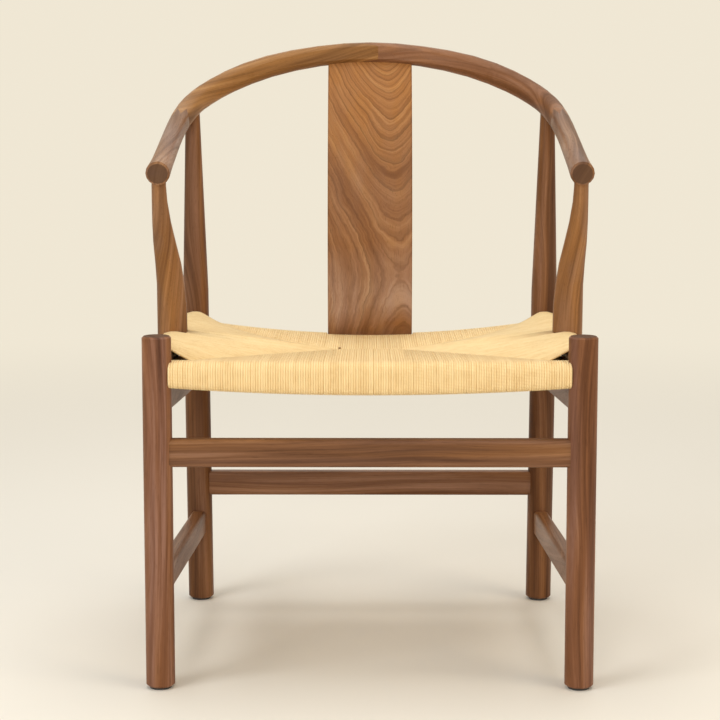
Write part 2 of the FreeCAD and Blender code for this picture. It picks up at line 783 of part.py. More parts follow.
def add_arm_post_blank(side):
    """The arm post before it is fitted, and the tenons in its foot and its top."""
    sign = SIDES[side]
    foot = arm_post_foot()
    top = rail_point_at(arm_post_top_y)
    post_blanks[side] = arm_post_blank(side)
    foot_base = Vector(sign * foot.x, foot.y, foot.z - size("post_tenon_length"))
    foot_pins[side] = upright_pin("arm_post_foot_pin_" + side, foot_base, "sizes.post_tenon_diameter",
                                  "2 * sizes.post_tenon_length")
    top_base = Vector(sign * top.x, top.y, top.z - size("rail_diameter"))
    top_pins[side] = upright_pin("arm_post_top_pin_" + side, top_base, "sizes.post_tenon_diameter",
                                 RAIL_TENON_LENGTH)


def add_side_seat_rail(side):
    """A side seat rail with the arm post's mortise, the cord round it, and the arm post fitted to it."""
    start, end = side_rail_line(side)
    label = "side_seat_rail_" + side
    bar = bar_body(label + "_bar", between(start, end), (end - start).Length / 2,
                   "sizes.side_rail_width", "sizes.seat_rail_height", "sizes.side_rail_corner")
    rail_bars.append(bar)
    wraps.append(bar_body("side_wrap_" + side, between(start, end), wrap_half_gap(start, end),
                          "sizes.side_rail_width + 2 * sizes.cord_diameter", WRAP_HEIGHT,
                          "sizes.side_rail_corner + sizes.cord_diameter"))
    fit_member(label, (("front", side), ("back", side)), (start, end), bar, SEAT_TENON,
               extra_cuts=[foot_pins[side]])
    shaft = cut("arm_post_shaft_" + side, post_blanks[side], [rail_pieces["arm_" + side], bar])
    node("arm_post_" + side, fuse("arm_post_fitted_" + side, [shaft, foot_pins[side], top_pins[side]]))


for side in SIDES:
    add_arm_post_blank(side)
for side in SIDES:
    add_side_seat_rail(side)

# Horseshoe rail pieces with their mortises, and the back legs' tenons in them
back_pins = {}
for side, sign in SIDES.items():
    base = Vector(sign * POST_TOP.x, POST_TOP.y, POST_TOP.z - size("rail_diameter"))
    back_pins[side] = upright_pin("back_leg_pin_" + side, base, "sizes.post_tenon_diameter",
                                  RAIL_TENON_LENGTH)
for side in SIDES:
    node("arm_" + side, cut("arm_bored_" + side, rail_pieces["arm_" + side], [top_pins[side]]))
for side in SIDES:
    node("crest_" + side, cut("crest_bored_" + side, rail_pieces["crest_" + side],
                              [back_pins[side], splat]))

# Glides and the finished legs
for row in ("front", "back"):
    for side in SIDES:
        foot = leg_point(row, side, 0)
        disc = document.addObject("Part::Prism", f"glide_disc_{row}_{side}")
        disc.Polygon = GLIDE_SIDES
        disc.Placement.Base = foot
        bound(disc, Circumradius="sizes.glide_diameter / 2", Height="sizes.glide_thickness")
        pin = upright_pin(f"glide_pin_{row}_{side}", foot, "sizes.glide_pin_diameter",
                          "sizes.glide_thickness + sizes.glide_pin_length")
        node(f"glide_{row}_{side}", fuse(f"glide_{row}_{side}", [disc, pin]))
        leg = leg_blanks[row, side]
        if row == "back":
            shaft = cut("back_leg_shaft_" + side, leg, [rail_pieces["crest_" + side]])
            leg = fuse("back_leg_tenoned_" + side, [shaft, back_pins[side]])
        node(f"{row}_leg_{side}", cut(f"{row}_leg_cut_{side}", leg, leg_tools[row, side] + [pin]))

# Woven seat: cord round the four rails and the web between them


def web_levels(top):
    """The inner lines of the web's upper or lower layer, as named points of its right half."""
    sign = 1 if top else -1
    bed = size("cord_bed")
    reach = HALF_RAIL + CORD - bed
    clear = LEG_RADIUS + CORD / 2
    front_level = size("front_rail_top") - HALF_RAIL + sign * reach
    back_level = size("back_rail_top") - HALF_RAIL + sign * reach
    back_leg = leg_point("back", "right", size("back_rail_top") - HALF_RAIL)
    near_y = FRONT_Y + clear
    far_y = back_leg.y - clear
    middle_y = (near_y + far_y) / 2
    middle_level = size("seat_middle_height") - (0 if top else size("seat_middle_thickness"))
    front_y = FRONT_Y + size("front_rail_depth") / 2 - size("seat_rail_corner")
    back_y = back_leg.y - size("back_rail_depth") / 2 + size("seat_rail_corner")
    inset = size("side_rail_width") / 2 - size("side_rail_corner")
    corner_x = FRONT_X - LEG_RADIUS - size("weave_corner_inset")
    back_corner_x = back_leg.x - LEG_RADIUS - size("weave_corner_inset")

    def side_point(y):
        point = side_rail_point_at(y)
        return Vector(point.x - inset, y, point.z - HALF_RAIL + sign * reach)

    def toward_middle(edge_y, edge_level, y):
        share = (y - edge_y) / (middle_y - edge_y)
        return edge_level + (middle_level - edge_level) * share

    return {
        "front": Vector(corner_x, front_y, front_level),
        "near": Vector(corner_x, near_y, toward_middle(front_y, front_level, near_y)),
        "near_side": side_point(near_y),
        "middle_side": side_point(middle_y),
        "far_side": side_point(far_y),
        "far": Vector(back_corner_x, far_y, toward_middle(back_y, back_level, far_y)),
        "back": Vector(back_corner_x, back_y, back_level),
        "apex": Vector(size("seat_bridge_width") / 2, middle_y, middle_level),
    }


def flat_face(*points):
    """A plane face through its corners."""
    return Part.Face(Part.makePolygon(list(points) + [points[0]]))


def strip_points(start, end):
    """Points from one to the other of a field's corners, one for each edge of its strips."""
    return [start + (end - start) * (step / WEB_STRIPS) for step in range(WEB_STRIPS + 1)]


def strand_faces(outer, inner):
    """The narrow faces that straight strands sweep from a rail's edge to the mitre line."""
    faces = []
    for step in range(WEB_STRIPS):
        faces.append(flat_face(outer[step], outer[step + 1], inner[step]))
        faces.append(flat_face(outer[step + 1], inner[step + 1], inner[step]))
    return faces


def seat_web():
    """The web between the rails: four fields of straight strands above, the same below."""
    faces = []
    layers = [web_levels(True), web_levels(False)]
    for layer in layers:
        for edge, inner, outer in (("front", "near", "near_side"), ("back", "far", "far_side")):
            mitre = strip_points(layer[inner], layer["apex"])
            side_edge = strip_points(layer[outer], layer["middle_side"])
            half = [layer[edge]] + mitre
            faces.append(flat_face(*half, *[mirrored(corner) for corner in reversed(half)]))
            faces += strand_faces(side_edge, mitre)
            faces += strand_faces([mirrored(corner) for corner in side_edge],
                                  [mirrored(corner) for corner in mitre])
    upper, lower = layers
    rims = (("front", "near"), ("near", "near_side"), ("far_side", "far"), ("far", "back"))
    for first, second in rims:
        corners = [upper[first], upper[second], lower[second], lower[first]]
        faces.append(flat_face(*corners))
        faces.append(flat_face(*[mirrored(corner) for corner in corners]))
    side_rim = []
    for layer, ends in ((upper, ("near_side", "far_side")), (lower, ("far_side", "near_side"))):
        side_rim += strip_points(layer[ends[0]], layer["middle_side"])
        side_rim += strip_points(layer["middle_side"], layer[ends[1]])[1:]
    faces.append(flat_face(*side_rim))
    faces.append(flat_face(*[mirrored(corner) for corner in side_rim]))
    for end_name in ("front", "back"):
        faces.append(flat_face(upper[end_name], mirrored(upper[end_name]),
                               mirrored(lower[end_name]), lower[end_name]))
    shell = Part.makeShell(faces)
    shell.sewShape()
    solid = Part.makeSolid(shell)
    if solid.Volume < 0:
        solid.reverse()
    made = document.addObject("Part::Feature", "seat_web")
    made.Shape = solid
    return made


def splat_bay():
    """The room behind the cord's slot, where no cord goes round the back seat rail."""
    middle_y = SLOT_FRONT + CORD + (size("back_rail_depth") + 2 * CORD) / 2
    place = Placement(Vector(0, middle_y, seat_rail_line("back")[0].z), Rotation())
    return centred_box("splat_bay", place, SPLAT_ROOM, BACK_WRAP_DEPTH,
                       "2 * sizes.seat_rail_height + 2 * sizes.overrun")


def post_bay(side):
    """The room round an arm post's foot, where no cord goes round the side seat rail."""
    foot = arm_post_foot()
    outer_x = side_rail_point_at(arm_post_foot_y).x + size("side_rail_width") / 2
    place = Placement(Vector(SIDES[side] * outer_x, foot.y, foot.z - HALF_RAIL), Rotation())
    return centred_box("post_bay_" + side, place, "2 * sizes.side_rail_width",
                       "sizes.arm_post_foot_depth", "sizes.seat_rail_height + 2 * sizes.overrun")


cord_pieces = [cut(f"cord_{number}", piece, rail_bars) for number, piece in enumerate(wraps + [seat_web()])]
seat_tools = [splat_bay()] + [post_bay(side) for side in SIDES]
seat_tools += list(leg_blanks.values()) + list(post_blanks.values())
node("woven_seat", cut("woven_seat_cut", fuse("seat_fused", cord_pieces), seat_tools))

document.recompute()
for made in document.Objects:
    faulty = [state for state in made.State if state in ("Invalid", "Error")]
    if faulty:
        raise RuntimeError(f"{made.Name} failed: {made.State}")
os.makedirs("parts", exist_ok=True)
for made in NODES:
    shape = made.Shape
    if shape.isNull() or not shape.isValid() or len(shape.Solids) != 1:
        raise RuntimeError(f"{made.Label}: {len(shape.Solids)} solids, valid {shape.isValid()}")
for made in NODES:
    made.Shape.exportStep(os.path.join("parts", made.Label + ".step"))
box = Part.makeCompound([made.Shape for made in NODES]).BoundBox
print(f"{len(NODES)} pieces, {box.XLength:.1f} x {box.YLength:.1f} x {box.ZLength:.1f} mm")
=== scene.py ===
"""Horseshoe back armchair in oiled walnut with a woven paper cord seat.

Metres, in the frame of the CAD model: +X to the viewer's right, +Y to the chair's back, +Z up.
"""
import math
import random
from collections import namedtuple

import bmesh
import bpy
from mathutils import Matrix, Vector


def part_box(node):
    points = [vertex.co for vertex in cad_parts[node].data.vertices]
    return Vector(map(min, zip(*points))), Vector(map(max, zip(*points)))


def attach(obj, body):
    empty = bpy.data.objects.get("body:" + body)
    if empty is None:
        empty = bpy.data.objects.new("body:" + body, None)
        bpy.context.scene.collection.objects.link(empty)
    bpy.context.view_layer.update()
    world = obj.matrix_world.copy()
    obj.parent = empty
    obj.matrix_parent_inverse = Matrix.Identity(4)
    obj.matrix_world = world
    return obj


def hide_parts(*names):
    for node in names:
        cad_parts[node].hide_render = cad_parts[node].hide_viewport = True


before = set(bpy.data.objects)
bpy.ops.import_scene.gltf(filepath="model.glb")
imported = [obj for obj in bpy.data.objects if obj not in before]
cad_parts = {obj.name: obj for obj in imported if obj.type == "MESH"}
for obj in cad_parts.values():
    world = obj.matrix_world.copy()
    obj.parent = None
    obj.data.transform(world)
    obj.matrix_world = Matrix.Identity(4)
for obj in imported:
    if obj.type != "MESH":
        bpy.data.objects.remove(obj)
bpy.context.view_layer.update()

MM = 0.001
# The chair's two sides and the direction of each along X, and its legs in the order they are made
SIDES = {"left": -1, "right": 1}
LEGS = [(row, side) for row in ("front", "back") for side in SIDES]

# The photograph's view. The film's width is in millimetres, as a Blender camera counts it
PHOTO_PIXELS = 720
FOCAL_PIXELS = 1971
FILM_WIDTH = 36.0
EYE_HEIGHT = 0.778
EYE_DISTANCE = 2.379
VIEW_SHIFT = 0.07
LOOK_DOWN = math.radians(7.27)
LOOK_LEFT = math.radians(0.29)

# Floor, room and backdrop
FLOOR_RADIUS = 14.0
FLOOR_SIDES = 64
FADE_START = 0.7
FADE_END = 3.0
FLOOR_COLOUR = (0.84, 0.79, 0.69, 1.0)
FLOOR_ROUGHNESS = 0.9
FLOOR_SPECULAR = 0.2
BACKDROP_COLOUR = (0.87, 0.80, 0.66, 1.0)
ROOM_COLOUR = (1.0, 0.98, 0.94, 1.0)
ROOM_STRENGTH = 0.42

# Lights that point at the seat: name, place, size, power in watts and colour
LIGHT_TARGET = (0.0, 0.0, 0.45)
COOL_LIGHT = (0.93, 0.96, 1.0)
WHITE_LIGHT = (1.0, 1.0, 1.0)
WARM_LIGHT = (1.0, 0.84, 0.64)
LIGHTS = (
    ("window light", (-2.3, -2.0, 1.8), 1.5, 43.0, COOL_LIGHT),
    ("front light", (-0.4, -3.5, 1.5), 1.2, 26.0, WHITE_LIGHT),
    ("fill light", (2.5, -1.6, 1.4), 1.6, 28.0, WARM_LIGHT),
    ("ceiling light", (0.0, 0.2, 3.0), 2.4, 42.0, WHITE_LIGHT),
    ("back wall light", (0.0, 2.6, 1.9), 2.0, 8.0, WHITE_LIGHT),
)

# Tones of the wood: dark, medium and light streaks
LEG_TONES = {
    "front": ((0.090, 0.032, 0.012), (0.212, 0.084, 0.034), (0.370, 0.180, 0.090)),
    # The back legs' tones are darker with painted shade, the shade under the seat
    "back": ((0.070, 0.024, 0.007), (0.152, 0.059, 0.018), (0.270, 0.120, 0.047)),
}
BAR_TONES = ((0.100, 0.040, 0.015), (0.215, 0.092, 0.034), (0.330, 0.160, 0.070))
SIDE_BAR_TONES = ((0.080, 0.030, 0.010), (0.180, 0.072, 0.024), (0.300, 0.135, 0.052))
CREST_TONES = {
    "left": ((0.150, 0.061, 0.015), (0.300, 0.139, 0.042), (0.460, 0.236, 0.084)),
    "right": ((0.095, 0.034, 0.010), (0.205, 0.080, 0.026), (0.330, 0.150, 0.060)),
}
ARM_TONES = ((0.076, 0.029, 0.010), (0.152, 0.065, 0.024), (0.265, 0.130, 0.056))
ARM_POST_TONES = ((0.140, 0.055, 0.016), (0.300, 0.135, 0.045), (0.450, 0.230, 0.094))
SPLAT_TONES = ((0.158, 0.060, 0.020), (0.275, 0.120, 0.043), (0.405, 0.204, 0.080))

# Tints of cooler stretches, of the painted sheen that makes the arms paler towards their tips, and of patches
# on the splat, of which the foot's is painted sheen
COOL_TINT = (0.90, 1.02, 1.55)
PAINTED_SHEEN_TINT = (1.65, 1.80, 2.00)
SPLAT_SHEEN_TINT = (1.32, 1.72, 2.75)
SPLAT_HEAD_TINT = (1.26, 1.22, 1.02)
# How much of the cooler tint the pieces take
COOL_SHARE = 0.8
SIDE_BAR_COOL_SHARE = 0.1
CREST_COOL_SHARES = {"left": 0.25, "right": 0.55}
SPLAT_COOL_SHARE = 0.30
# How far from an arm's joint its painted sheen begins, and how far from its tip the sheen is full
SHEEN_MARGIN = 30 * MM

# Direction of the grain in the pieces. The crest's is the right piece's, and the left one mirrors it
UPRIGHT = (0, 0, 1)
ACROSS = (1, 0, 0)
BACKWARD = (0, 1, 0)
ARM_GRAIN = (0, 1, 0.12)
CREST_GRAIN = (0.92, -0.30, -0.26)

# Seeds that say where in the wood's pattern a kind of piece is cut, and how a seed moves it there
SEEDS = {
    "leg": 0.31,
    "stretcher": 0.57,
    "seat_rail": 1.57,
    "side_stretcher": 2.3,
    "side_seat_rail": 3.1,
    "arm": 4.4,
    "arm_post": 5.2,
    "crest": 6.1,
    "splat": 8.2,
}
LEG_SEED_STEP = 0.83
SEED_DIRECTION = Vector((1.0, 0.37, 1.9))

# Rings and streaks of the wood. A scale counts noise cells per metre along X, Y and Z, where Z
# follows the grain, and X is the distance from the tree's heart in the streaks
Streaks = namedtuple("Streaks", "fine_scale broad_scale fine_share broad_share darkest lightest")
PLAIN_STREAKS = Streaks((430.0, 1.0, 8.0), (72.0, 1.0, 2.4), 0.38, 0.82, 0.39, 0.80)
FIGURED_STREAKS = Streaks((900.0, 1.0, 22.0), (125.0, 1.0, 4.0), 0.52, 0.72, 0.36, 0.88)
HEART_PLACE = (45 * MM, 75 * MM)
RING_BEND = 50 * MM
BEND_SCALE = (8.0, 8.0, 2.4)
PLAIN_RING = 7.5 * MM
PLAIN_LINE_SHARE = 0.28
FIGURED_RING = 5.0 * MM
FIGURED_LINE_SHARE = 0.54
# Where in a ring its dark line begins and is darkest, the power by which it rises there, and how
# strong the faintest line is
LINE_START = 0.35
LINE_PEAK = 0.93
LINE_POWER = 2.0
FAINTEST_LINE = 0.25

# Oiled surface of the wood: drifts of the cooler tint, pores, end grain darkened partly with painted shade,
# gloss and relief
DRIFT_SCALE = (52.0, 52.0, 2.2)
DRIFT_RANGE = (0.40, 0.62)
PORE_SCALE = (1300.0, 1300.0, 60.0)
PORE_RANGE = (0.60, 0.74)
PORE_SHARE = 0.32
SHADOW_SHARE = 0.42
# End grain is darker, and darker still with painted shade that dims lit end faces such as the legs' tops
END_GRAIN_AND_SHADE_COLOUR = (0.092, 0.047, 0.026, 1.0)
END_GRAIN_RANGE = (0.72, 0.95)
END_GRAIN_AND_SHADE_SHARE = 0.85
# Roughness at two tones of the streaks, and what end grain and pores add to it
ROUGHNESS_TONES = (0.2, 0.8)
WOOD_ROUGHNESS = (0.44, 0.34)
END_GRAIN_ROUGHNESS = 0.3
PORE_ROUGHNESS = 0.15
WOOD_SPECULAR = 0.12
STREAK_RELIEF_SHARE = 0.5
PORE_RELIEF_SHARE = -1.0
WOOD_RELIEF = 0.1 * MM
WOOD_BUMP = 0.3

# Figure of the splat's board: where its points hang, how they lean, and where its lines turn upright
SPLAT_TOP = 0.767
FIGURE_POINT_X = 23 * MM
FIGURE_LEAN = 0.075
FIGURE_TURN = 0.495
FIGURE_TURN_SOFTNESS = 0.08
FIGURE_SLOPE = 0.048
FOOT_TURN = 0.465
FOOT_TURN_SOFTNESS = 0.06
FOOT_SLOPE = 0.0384
HEART_DEPTH_SQUARED = 0.0134
POINT_ROUNDING = 5 * MM
POINT_POWER = 0.75
POINT_SPREAD = 0.27
FIGURE_WAVE = 8 * MM
FIGURE_WAVE_SCALE = (20.0, 1.0, 12.0)
FIGURE_RIPPLE = 2.4 * MM
FIGURE_RIPPLE_SCALE = (55.0, 1.0, 95.0)
# Levels at which a patch of the splat has none of its tint and all of it: the foot's, a band of painted
# sheen, has two borders
SHEEN_BAND_LOWER = (0.425, 0.455)
SHEEN_BAND_UPPER = (0.545, 0.480)
HEAD_PATCH = (0.640, 0.770)
PATCH_WAVE = 60 * MM

# The range in which most values of a noise lie
NOISE_RANGE = (0.3, 0.7)

# Paper cord: its twist, the shares of a strand's own tone, of fibres and of blotches in its colour, and the
# painted shade in its twist's grooves
TWIST_LENGTH = 7.5 * MM
FIBRE_SCALE = 520.0
BLOTCH_SCALE = 75.0
STRAND_SHARE = 0.15
FIBRE_SHARE = 0.50
BLOTCH_SHARE = 0.35
# Dark colour of the cut end: painted shadow
PAINTED_CORD_END_SHADOW = (0.20, 0.11, 0.04)
CORD_TONES = (
    (0.0, PAINTED_CORD_END_SHADOW),
    (0.2, (0.68, 0.45, 0.19)),
    (0.5, (0.865, 0.645, 0.330)),
    (0.8, (0.94, 0.75, 0.42)),
)
# Painted shade in the grooves between the twist's ridges: its colour, how wide it spreads and how strong it
# is
PAINTED_GROOVE_SHADE = (0.62, 0.40, 0.17, 1.0)
GROOVE_WIDTH = 0.42
GROOVE_SHADE_SHARE = 0.60
CORD_ROUGHNESS = (0.72, 0.88)
CORD_SPECULAR = 0.2
RIDGE_RELIEF_SHARE = 0.8
FIBRE_RELIEF_SHARE = 0.3
CORD_RELIEF = 0.4 * MM
CORD_BUMP = 0.5

# Glides
SCUFF_SCALE = 380.0
GLIDE_TONES = ((0.3, (0.018, 0.016, 0.014)), (0.8, (0.040, 0.036, 0.032)))
GLIDE_ROUGHNESS = (0.5, 0.7)
GLIDE_RELIEF = 0.1 * MM
GLIDE_BUMP = 0.3

# Smoothing of the frame's facets
MERGE_DISTANCE = 0.004 * MM
FLAT_ANGLE = math.radians(0.2)
SMOOTH_ANGLE = math.radians(32)

# Seat: wood sizes that the cord goes round
LEG_RADIUS = 18 * MM
BACK_LEG_X = 247.6 * MM
RAIL_HEIGHT = 27 * MM
RAIL_CORNER = 9 * MM
BELLY_CORNER = 6 * MM
FRONT_BELLY = 8.5 * MM
SIDE_RAIL_WIDTH = 32 * MM
SIDE_RAIL_CORNER = 13 * MM
SIDE_FRONT_TOP = 426 * MM
SIDE_BACK_TOP = 418 * MM
SLOT_STRIP = 4 * MM
SLOT_CORNER = 1.5 * MM
POST_FOOT_SETBACK = 172 * MM
POST_FOOT_HALF_DEPTH = 17 * MM

# Cord of the seat, and where its fields meet. The spread widens a swept strand, whose section has
# flat sides, until it touches its neighbours
CORD = 3.0 * MM
CORD_PITCH = 3.06 * MM
CORD_SIDES = 6
CORD_SPREAD = 1.22
UNEVENNESS = 0.09 * MM
UNEVENNESS_SEED = 5
STRAND_TONE_SEED = 11
ARC_STEP = math.radians(30)
SEAT_MIDDLE = 394.2 * MM
WEB_DEPTH = 12.5 * MM
BRIDGE_HALF_WIDTH = 44 * MM
CORNER_INSET = 24 * MM
WRAP_END = 16.3 * MM
DIVE = 4 * MM
FOOT_STRAND_DROP = 0.5 * MM
# The cord on the back rail rises by this much times the square of its distance from the middle
BACK_WRAP_RISE = 0.33
# The cut end's place beside and above the seat's middle, and a tone far under any strand's 0 to 1, which
# gives it the dark colour of painted shadow
CORD_END_PLACE = (-40 * MM, 0.0, 3.5 * MM)
CORD_END_LENGTH = 6 * MM
CORD_END_TONE = -2.6


# Materials


def feed(tree, socket, value):
    """Set an input to a value, or link it to another node's output."""
    if isinstance(value, bpy.types.NodeSocket):
        tree.links.new(value, socket)
    else:
        socket.default_value = value


def add_node(tree, kind, inputs=None, **settings):
    """Add a node to a tree. An input is a value or another node's output."""
    made = tree.nodes.new(kind)
    for name, value in settings.items():
        setattr(made, name, value)
    for name, value in (inputs or {}).items():
        feed(tree, made.inputs[name], value)
    return made


class Finish:
    """A node material, and short ways to add nodes to it."""

    def __init__(self, name):
        self.material = bpy.data.materials.new(name)
        self.material.use_nodes = True
        self.tree = self.material.node_tree
        self.shader = self.tree.nodes["Principled BSDF"]
        coordinates = self.node("TexCoord").outputs
        self.place = coordinates["Object"]
        self.normal = coordinates["Normal"]

    def node(self, kind, inputs=None, **settings):
        """Add a shader node."""
        return add_node(self.tree, "ShaderNode" + kind, inputs, **settings)

    def shade(self, inputs):
        """Set or link inputs of the surface's shader."""
        for name, value in inputs.items():
            feed(self.tree, self.shader.inputs[name], value)

    def bump(self, height, strength, distance):
        """Give the surface relief from a grey height."""
        made = self.node("Bump", {"Strength": strength, "Distance": distance, "Height": height})
        self.shade({"Normal": made.outputs["Normal"]})

    def math(self, operation, *values):
        """A Math node's output."""
        return self.node("Math", dict(enumerate(values)), operation=operation).outputs[0]

    def total(self, *parts):
        """The sum of grey values, each times its share."""
        value = 0.0
        for part, share in parts:
            value = self.math("MULTIPLY_ADD", part, share, value)
        return value

    def vectors(self, operation, first, second=(0.0, 0.0, 0.0)):
        """A Vector Math node's outputs."""
        return self.node("VectorMath", {0: first, 1: second}, operation=operation).outputs

    def stretch(self, vector, scale):
        """A vector or colour scaled along its axes."""
        return self.vectors("MULTIPLY", vector, scale)["Vector"]

    def parts(self, vector):
        """The X, Y and Z outputs of a vector."""
        return self.node("SeparateXYZ", {"Vector": vector}).outputs

    def attribute(self, name):
        """The outputs of an attribute that the mesh carries."""
        return self.node("Attribute", attribute_name=name).outputs

    def noise(self, vector, scale, detail=2.0, roughness=0.5, output="Fac"):
        """A noise texture's output. Its scale is one number, or one for each axis."""
        if isinstance(scale, tuple):
            vector = self.stretch(vector, scale)
            scale = 1.0
        made = self.node("TexNoise", {"Vector": vector, "Scale": scale, "Detail": detail,
                                      "Roughness": roughness})
        return made.outputs[output]

    def spread(self, value, low, high, to_low=0.0, to_high=1.0):
        """A grey value stretched from one range to another, clamped."""
        made = self.node("MapRange", {"Value": value, "From Min": low, "From Max": high,
                                      "To Min": to_low, "To Max": to_high})
        return made.outputs["Result"]

    def mix(self, share, first, second):
        """Two colours mixed. The node's inputs 0, 6 and 7 are its factor and colours, output 2 the mix."""
        return self.node("Mix", {0: share, 6: first, 7: second}, data_type="RGBA").outputs[2]

    def ramp(self, value, stops):
        """A colour ramp through (place, colour) stops."""
        made = self.node("ValToRGB", {"Fac": value})
        elements = made.color_ramp.elements
        while len(elements) < len(stops):
            elements.new(0.5)
        for element, (place, colour) in zip(elements, stops):
            element.position = place
            element.color = (*colour, 1.0)
        return made.outputs["Color"]


class Walnut(Finish):
    """Oiled walnut whose grain runs along a piece."""

    def __init__(self, name, centre, grain, seed):
        super().__init__(name)
        from_middle = self.node("Mapping", {"Vector": self.place, "Location": -Vector(centre)}).outputs[0]
        upright = Vector(grain).rotation_difference(Vector(UPRIGHT)).to_euler()
        self.along = self.node("Mapping", {"Vector": from_middle, "Rotation": upright,
                                           "Location": SEED_DIRECTION * seed}).outputs[0]
        facing = self.vectors("DOT_PRODUCT", self.normal, Vector(grain).normalized())["Value"]
        self.end_grain = self.spread(self.math("ABSOLUTE", facing), *END_GRAIN_RANGE)

    def rings_about(self, heart):
        """Distance from the tree's heart, bent by slow waves along the grain."""
        slow = self.noise(self.along, BEND_SCALE, detail=1.5, output="Color")
        wave = self.vectors("SUBTRACT", slow, (0.5, 0.5, 0.5))["Vector"]
        wave = self.stretch(wave, (RING_BEND, RING_BEND, 0.0))
        bent = self.vectors("ADD", self.along, wave)["Vector"]
        bent = self.vectors("ADD", bent, (*heart, 0.0))["Vector"]
        flat = self.stretch(bent, (1.0, 1.0, 0.0))
        return self.vectors("LENGTH", flat)["Value"]

    def ring_line(self, reach, ring_width):
        """A thin dark line at the end of each year's ring, some stronger than others."""
        count = self.math("DIVIDE", reach, ring_width)
        share = self.math("FRACT", count)
        year = self.node("TexWhiteNoise", {"W": self.math("FLOOR", count)},
                         noise_dimensions="1D").outputs["Value"]
        rise = self.math("POWER", self.spread(share, LINE_START, LINE_PEAK), LINE_POWER)
        line = self.math("MULTIPLY", rise, self.spread(share, 1.0, LINE_PEAK))
        return self.math("MULTIPLY", line, self.spread(year, 0.0, 1.0, FAINTEST_LINE, 1.0))

    def streaks(self, reach, height, kind):
        """A tone of fine and broad streaks that follow the rings and run along the grain."""
        place = self.node("CombineXYZ", {"X": reach, "Z": height}).outputs[0]
        fine = self.noise(place, kind.fine_scale, detail=3.0, roughness=0.6)
        broad = self.noise(place, kind.broad_scale)
        tone = self.total((fine, kind.fine_share), (broad, kind.broad_share))
        return self.spread(tone, kind.darkest, kind.lightest)

    def apply(self, tone, line, line_share, tones, cool_share, patches=()):
        """Colour, gloss and relief from a tone along the grain, the ring lines and tinted patches."""
        dark, medium, light = tones
        shadow = (*[part * SHADOW_SHARE for part in dark], 1.0)
        drift = self.noise(self.along, DRIFT_SCALE, detail=1.5)
        drift = self.spread(drift, *DRIFT_RANGE, 0.0, cool_share)
        pores = self.spread(self.noise(self.along, PORE_SCALE, detail=1.0), *PORE_RANGE)
        warm = self.ramp(tone, ((0.0, dark), (0.5, medium), (1.0, light)))
        for mask, tint in patches:
            warm = self.mix(mask, warm, self.stretch(warm, tint))
        colour = self.mix(drift, warm, self.stretch(warm, COOL_TINT))
        colour = self.mix(self.math("MULTIPLY", line, line_share), colour, shadow)
        colour = self.mix(self.math("MULTIPLY", pores, PORE_SHARE), colour, shadow)
        # Darker end grain, partly its own colour and partly painted shade
        cut_end_and_shade = self.math("MULTIPLY", self.end_grain, END_GRAIN_AND_SHADE_SHARE)
        colour = self.mix(cut_end_and_shade, colour, END_GRAIN_AND_SHADE_COLOUR)
        roughness = self.total((self.spread(tone, *ROUGHNESS_TONES, *WOOD_ROUGHNESS), 1.0),
                               (self.end_grain, END_GRAIN_ROUGHNESS), (pores, PORE_ROUGHNESS))
        self.shade({"Base Color": colour, "Roughness": roughness, "Specular IOR Level": WOOD_SPECULAR})
        relief = self.total((tone, STREAK_RELIEF_SHARE), (pores, PORE_RELIEF_SHARE))
        self.bump(relief, WOOD_BUMP, WOOD_RELIEF)


def walnut(name, centre, grain, tones, seed, cool_share=COOL_SHARE, worn=None):
    """Plain walnut: long soft streaks and faint rings. It can take a painted sheen, paler and greyer from one
    depth to another.
    """
    finish = Walnut(name, centre, grain, seed)
    reach = finish.rings_about(HEART_PLACE)
    line = finish.ring_line(reach, PLAIN_RING)
    tone = finish.streaks(reach, finish.parts(finish.along)["Z"], PLAIN_STREAKS)
    patches = []
    # Painted sheen, paler and greyer from one depth to another
    if worn:
        depth = finish.parts(finish.place)["Y"]
        patches.append((finish.spread(depth, *worn), PAINTED_SHEEN_TINT))
    finish.apply(tone, line, PLAIN_LINE_SHARE, tones, cool_share, patches)
    return finish.material


def figure_reach(finish, across, height):
    """Distance from the tree's heart, whose line leans across the splat and sinks behind its face."""
    lean = finish.math("MULTIPLY", finish.math("SUBTRACT", SPLAT_TOP, height), FIGURE_LEAN)
    beside = finish.math("SUBTRACT", across, finish.math("ADD", lean, FIGURE_POINT_X))
    beside = finish.math("MULTIPLY_ADD", beside, beside, POINT_ROUNDING ** 2)
    beside = finish.math("MULTIPLY", finish.math("POWER", beside, POINT_POWER), POINT_SPREAD)
    above = finish.math("SMOOTH_MAX", finish.math("SUBTRACT", height, FIGURE_TURN), 0.0,
                        FIGURE_TURN_SOFTNESS)
    below = finish.math("SMOOTH_MAX", finish.math("SUBTRACT", FOOT_TURN, height), 0.0,
                        FOOT_TURN_SOFTNESS)
    rise = finish.total((above, -FIGURE_SLOPE), (below, -FOOT_SLOPE))
    behind = finish.math("MAXIMUM", finish.math("ADD", rise, HEART_DEPTH_SQUARED), 0.0)
    return finish.math("SQRT", finish.math("ADD", beside, behind))


